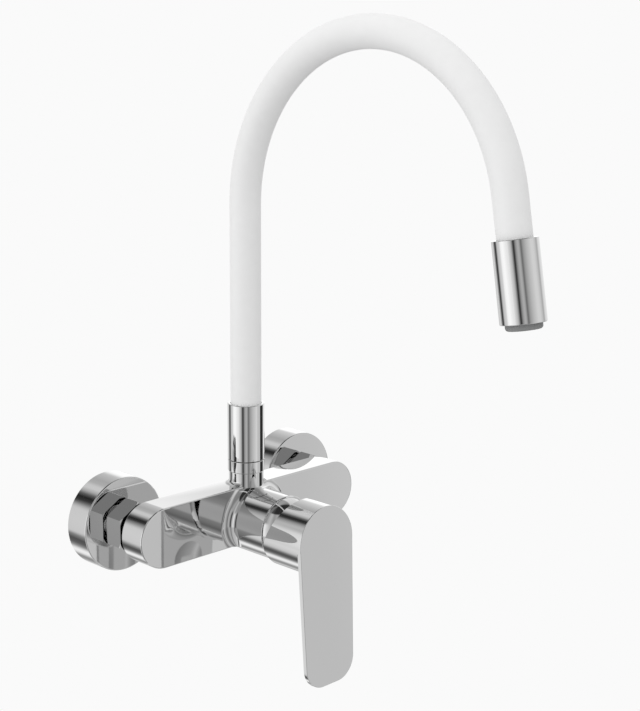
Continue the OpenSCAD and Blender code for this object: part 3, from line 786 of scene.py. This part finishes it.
def hose(name, radius, wall):
    """A tube along the spout's line: straight up, over in two arcs and straight down into the head."""
    take()
    bpy.ops.mesh.primitive_circle_add(
        vertices=HOSE_SIDES, radius=radius * MM, location=(0, -SPOUT_OUT * MM, (HOSE_FOOT + 0.1) * MM))
    obj = bpy.context.object
    obj.name = name
    bpy.ops.object.transform_apply()
    bpy.ops.object.mode_set(mode="EDIT")
    bpy.ops.mesh.select_all(action="SELECT")
    risers = 24
    step = (0, 0, (RISE_TOP - HOSE_FOOT - 0.1) / risers * MM)
    for _ in range(risers):
        bpy.ops.mesh.extrude_edges_move(TRANSFORM_OT_translate={"value": step})
    for arc_centre, turn, steps in (
            ((0, -SPOUT_OUT - RISE_R, RISE_TOP), 90, 90),
            ((0, -SPOUT_OUT - RISE_R, RISE_TOP + RISE_R - FALL_R), FALL_TURN, 80)):
        bpy.ops.mesh.spin(steps=steps, angle=-radians(turn), center=Vector(arc_centre) * MM, axis=(1, 0, 0))
    drop = Vector((0, -cos(radians(FALL_TURN)), -sin(radians(FALL_TURN)))) * (FALL_END + HOSE_IN_HEAD) * MM
    drops = 8
    for _ in range(drops):
        bpy.ops.mesh.extrude_edges_move(TRANSFORM_OT_translate={"value": drop / drops})
    bpy.ops.mesh.select_all(action="SELECT")
    bpy.ops.mesh.remove_doubles(threshold=0.001 * MM)
    bpy.ops.mesh.normals_make_consistent(inside=False)
    bpy.ops.object.mode_set(mode="OBJECT")
    bpy.ops.object.modifier_add(type="SOLIDIFY")
    obj.modifiers[-1].thickness = wall * MM
    obj.modifiers[-1].offset = -1
    bpy.ops.object.modifier_apply(modifier=obj.modifiers[-1].name)
    bpy.ops.object.shade_smooth_by_angle(angle=radians(40))
    return obj


for name, radius, wall, finish, slot, nodes in (
        ("silicone_jacket", HOSE_R, 1.85, SILICONE, "white_silicone",
         ("spout_jacket", "jacket_bend", "jacket_end")),
        ("gooseneck_conduit", 7.6, 2.0, STEEL, "steel", ("support_conduit", "conduit_bend")),
        ("water_line", 5.3, 1.7, BRAIDED_TUBE, "clear_plastic", ("water_tube", "tube_bend"))):
    piece = dress(hose(name, radius, wall), finish)
    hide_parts(*nodes)
    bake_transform(piece)

# ---------------------------------------------------------------- outlet head


def head_shell():
    """A turned cylinder closed round the hose at its top."""
    r, bore, edge, lip, cap = HEAD_R, HEAD_R - 0.9, 0.4, HOSE_R + 0.15, 1.6
    profile = arc((r - edge, edge), edge, -90, 0)
    profile += arc((r - edge, HEAD_LENGTH - edge), edge, 0, 90)
    profile += [(bore, HEAD_LENGTH), (bore, cap), (lip, cap), (lip, 0)]
    return polish(turned("outlet_shell", profile, HEAD))


def nozzle():
    """A soft moulded mouth with a rounded rim, proud of the shell."""
    r, mouth_r, former_r, connector_r, flange_r = 9.95, 7.4, 8.7, 9.05, HEAD_R - 0.95
    foot, step, shoulder, tip = 22.1, 30, HEAD_LENGTH - 0.5, HEAD_LENGTH + 3.5
    round_r, lip_round, lip = 1.6, 0.4, 2.6
    profile = [(connector_r, foot), (flange_r, foot), (flange_r, shoulder), (r, shoulder)]
    profile += arc((r - round_r, tip - round_r), round_r, 0, 90, 8)
    profile += arc((mouth_r + lip_round, tip - lip_round), lip_round, 90, 180, 4)
    profile += [(mouth_r, tip - lip), (former_r, tip - lip), (former_r, step), (connector_r, step)]
    return polish(turned("rubber_mouth", profile, HEAD, PLAIN_SIDES))


def stream_former():
    """An insert whose crossed bars break the jet up."""
    mouth, pitch, bar, cells, stretch = HEAD_LENGTH + 0.8, 2.1, 0.5, 8, 5
    middle = (0, 0, (mouth - 1.5) * MM)
    take()
    bpy.ops.mesh.primitive_grid_add(
        x_subdivisions=cells, y_subdivisions=cells, size=cells * pitch * MM, location=middle)
    obj = bpy.context.object
    obj.name = "stream_former"
    bpy.ops.object.transform_apply()
    bpy.ops.object.modifier_add(type="WIREFRAME")
    obj.modifiers[-1].thickness = bar * MM
    obj.modifiers[-1].use_even_offset = False
    bpy.ops.object.modifier_apply(modifier=obj.modifiers[-1].name)
    bpy.ops.object.mode_set(mode="EDIT")
    bpy.ops.mesh.select_all(action="SELECT")
    bpy.ops.transform.resize(value=(1, 1, stretch), center_override=middle)
    r, bore, foot = 8.6, 7.4, 30.2
    trim(obj, rod("round", 7.5, mouth - 5, mouth + 2, sides=PLAIN_SIDES))
    fuse(obj, turned("collar", [(r, foot), (r, mouth), (bore, mouth), (bore, foot)], sides=PLAIN_SIDES))
    return put(polish(obj), HEAD)


install(head_shell(), CHROME, "outlet_head", "chrome_head", "head_shell")
install(nozzle(), GREY_RUBBER, "outlet_head", "grey_rubber", "nozzle")
install(stream_former(), WHITE_PLASTIC, "outlet_head", "white_plastic", "aerator")

# ---------------------------------------------------------------- studio

BACKDROP = "#FAFAFA"

# Cards that stand in rings round the faucet and show in the chrome: azimuth in degrees from +X, and
# brightness. One ring is at the faucet's own height, one above it, one below it and one overhead.
LEVEL_CARDS = [
    (-180, 0.92), (-165, 0.57), (-160, 0.32), (-154, 0.03), (-150, 0.06), (-142, 0.36), (-133, 0.53),
    (-127, 0.48), (-118, 0.17), (-108, 0.40), (-90, 0.61), (-65, 0.81), (-52, 0.80), (-38, 0.66),
    (-27, 0.48), (-14, 0.84), (29, 1.02), (36, 1.30), (48, 1.30), (58, 0.93), (62, 0.67), (80, 0.82),
    (88, 0.80), (92, 0.48), (103, 0.08), (108, 0.02), (113, 0.18), (121, 0.68), (135, 0.80),
    (143, 1.15), (155, 1.23), (175, 1.00)]
HIGH_CARDS = [
    (-180, 0.45), (-168, 0.60), (-155, 0.36), (-140, 0.46), (-118, 0.25), (-75, 0.29), (-50, 0.35),
    (-30, 0.60), (0, 0.75), (25, 0.90), (38, 1.05), (50, 0.76), (60, 0.60), (72, 0.48), (82, 0.53),
    (90, 0.72), (97, 0.73), (104, 0.50), (110, 0.14), (115, 0.02), (120, 0.05), (125, 0.35), (130, 0.60),
    (137, 0.45), (145, 0.33), (165, 0.35)]
LOW_CARDS = [
    (-180, 0.60), (-165, 0.45), (-158, 0.20), (-150, 0.45), (-138, 0.50), (-128, 0.30), (-115, 0.17),
    (-100, 0.40), (-80, 0.75), (-65, 0.65), (-50, 0.50), (-35, 0.60), (0, 0.50), (20, 0.24), (35, 0.35),
    (52, 0.48), (60, 0.68), (67, 0.40), (76, 0.30), (82, 0.55), (88, 0.95), (95, 1.08), (100, 0.85),
    (106, 0.35), (112, 0.14), (118, 0.10), (122, 0.25), (127, 0.70), (133, 0.85), (145, 0.65), (165, 0.60)]
TOP_CARDS = [
    (-180, 0.10), (-155, 0.03), (-20, 0.03), (-5, 0.30), (10, 0.40), (45, 0.40), (70, 0.10), (130, 0.05),
    (160, 0.20)]

# Elevations in degrees over which one ring goes over into the next.
LOW_TO_LEVEL = (-24, -18)
LEVEL_TO_HIGH = (14, 25)
HIGH_TO_TOP = (54, 60)

# Single cards in front of the rings: azimuth from and to, elevation from and to, and brightness. Their
# upright and level edges are soft over this many degrees to each side.
FLAGS = [(-58, -44, -24, -8, 0.64), (-36, -5, -22, -10, 0.03), (38, 58, -26, -11, 0.58)]
UPRIGHT_SOFT = 2
LEVEL_SOFT = 1.5

# The light on all but the chrome: its brightness, and how much it gains along X, Y and Z, so that a little
# more of it comes from above, from -X and from the wall's side.
SOFT_LIGHT = 0.84
SOFT_LEAN = (-0.15, 0.125, 0.28)


def ring_of_cards(tree, turn, cards):
    """A grey level that changes with the direction round the faucet, from 0 to 1 for a full turn."""
    ring = node(tree, "ShaderNodeValToRGB", {"Fac": turn})
    stops = ring.color_ramp.elements
    while len(stops) < len(cards):
        stops.new(0)
    for stop, (azimuth, level) in zip(stops, cards):
        stop.position = azimuth / 360 + 0.5
        stop.color = (level, level, level, 1)
    return ring.outputs["Color"]


def studio_light():
    """Cards for the chrome, a soft light for all else and a plain backdrop for the eye."""
    world = bpy.data.worlds.new("studio")
    bpy.context.scene.world = world
    world.use_nodes = True
    tree = world.node_tree
    direction = tree.nodes.new("ShaderNodeTexCoord").outputs["Generated"]
    towards = node(tree, "ShaderNodeSeparateXYZ", {"Vector": direction})
    angle = node(tree, "ShaderNodeMath", {
        0: towards.outputs["Y"], 1: towards.outputs["X"]}, operation="ARCTAN2")
    turn = node(tree, "ShaderNodeMapRange", {
        "Value": angle.outputs[0], "From Min": -pi, "From Max": pi}).outputs["Result"]

    def rise(value, low, high):
        """0 where the value is at low and 1 where it is at high, whichever of the two is greater."""
        return node(tree, "ShaderNodeMapRange", {"Value": value, "From Min": low, "From Max": high},
                    interpolation_type="SMOOTHSTEP").outputs["Result"]

    def above(low, high):
        """0 at the first elevation in degrees and 1 at the second."""
        return rise(towards.outputs["Z"], sin(radians(low)), sin(radians(high)))

    def between(left, right, low, high):
        """1 inside a card from one azimuth to another and from one elevation to another."""
        inside = above(low - LEVEL_SOFT, low + LEVEL_SOFT)
        for side in (
                rise(angle.outputs[0], radians(left - UPRIGHT_SOFT), radians(left + UPRIGHT_SOFT)),
                rise(angle.outputs[0], radians(right + UPRIGHT_SOFT), radians(right - UPRIGHT_SOFT)),
                above(high + LEVEL_SOFT, high - LEVEL_SOFT)):
            inside = node(tree, "ShaderNodeMath", {0: inside, 1: side}, operation="MULTIPLY").outputs[0]
        return inside

    def laid_over(shown, layers):
        """Lays one colour after another over what is shown, each by its own factor from 0 to 1."""
        for factor, colour in layers:
            shown = node(tree, "ShaderNodeMix", {
                "Factor": factor, "A": shown, "B": colour}, data_type="RGBA").outputs["Result"]
        return shown

    cards = laid_over(ring_of_cards(tree, turn, LOW_CARDS), [
        (above(*LOW_TO_LEVEL), ring_of_cards(tree, turn, LEVEL_CARDS)),
        (above(*LEVEL_TO_HIGH), ring_of_cards(tree, turn, HIGH_CARDS)),
        *((between(*edges), (level, level, level, 1)) for *edges, level in FLAGS),
        (above(*HIGH_TO_TOP), ring_of_cards(tree, turn, TOP_CARDS))])
    lean = node(tree, "ShaderNodeVectorMath", {0: direction, 1: SOFT_LEAN}, operation="DOT_PRODUCT")
    soft = node(tree, "ShaderNodeMath", {0: lean.outputs["Value"], 1: SOFT_LIGHT}, operation="ADD")
    ray = tree.nodes.new("ShaderNodeLightPath").outputs
    light = laid_over(soft.outputs[0], [
        (ray["Is Glossy Ray"], cards), (ray["Is Camera Ray"], linear(BACKDROP))])
    tree.links.new(light, tree.nodes["Background"].inputs["Color"])


def pale_floor():
    """A plain floor far below, as bright as the backdrop, that casts nothing on the faucet."""
    take()
    radius, height = 6, -0.3
    bpy.ops.mesh.primitive_circle_add(
        vertices=PLAIN_SIDES, radius=radius, fill_type="NGON", location=(0, 0, height))
    floor = bpy.context.object
    floor.name = "floor"
    finish, *_ = new_material(
        "pale_floor", Roughness=1.0, Base_Color=linear("#000000"), Specular_IOR_Level=0,
        Emission_Color=linear(BACKDROP), Emission_Strength=1.0)
    dress(floor, finish)
    floor.visible_glossy = False
    floor.visible_diffuse = False


studio_light()
pale_floor()
bpy.context.scene.view_settings.view_transform = "Standard"
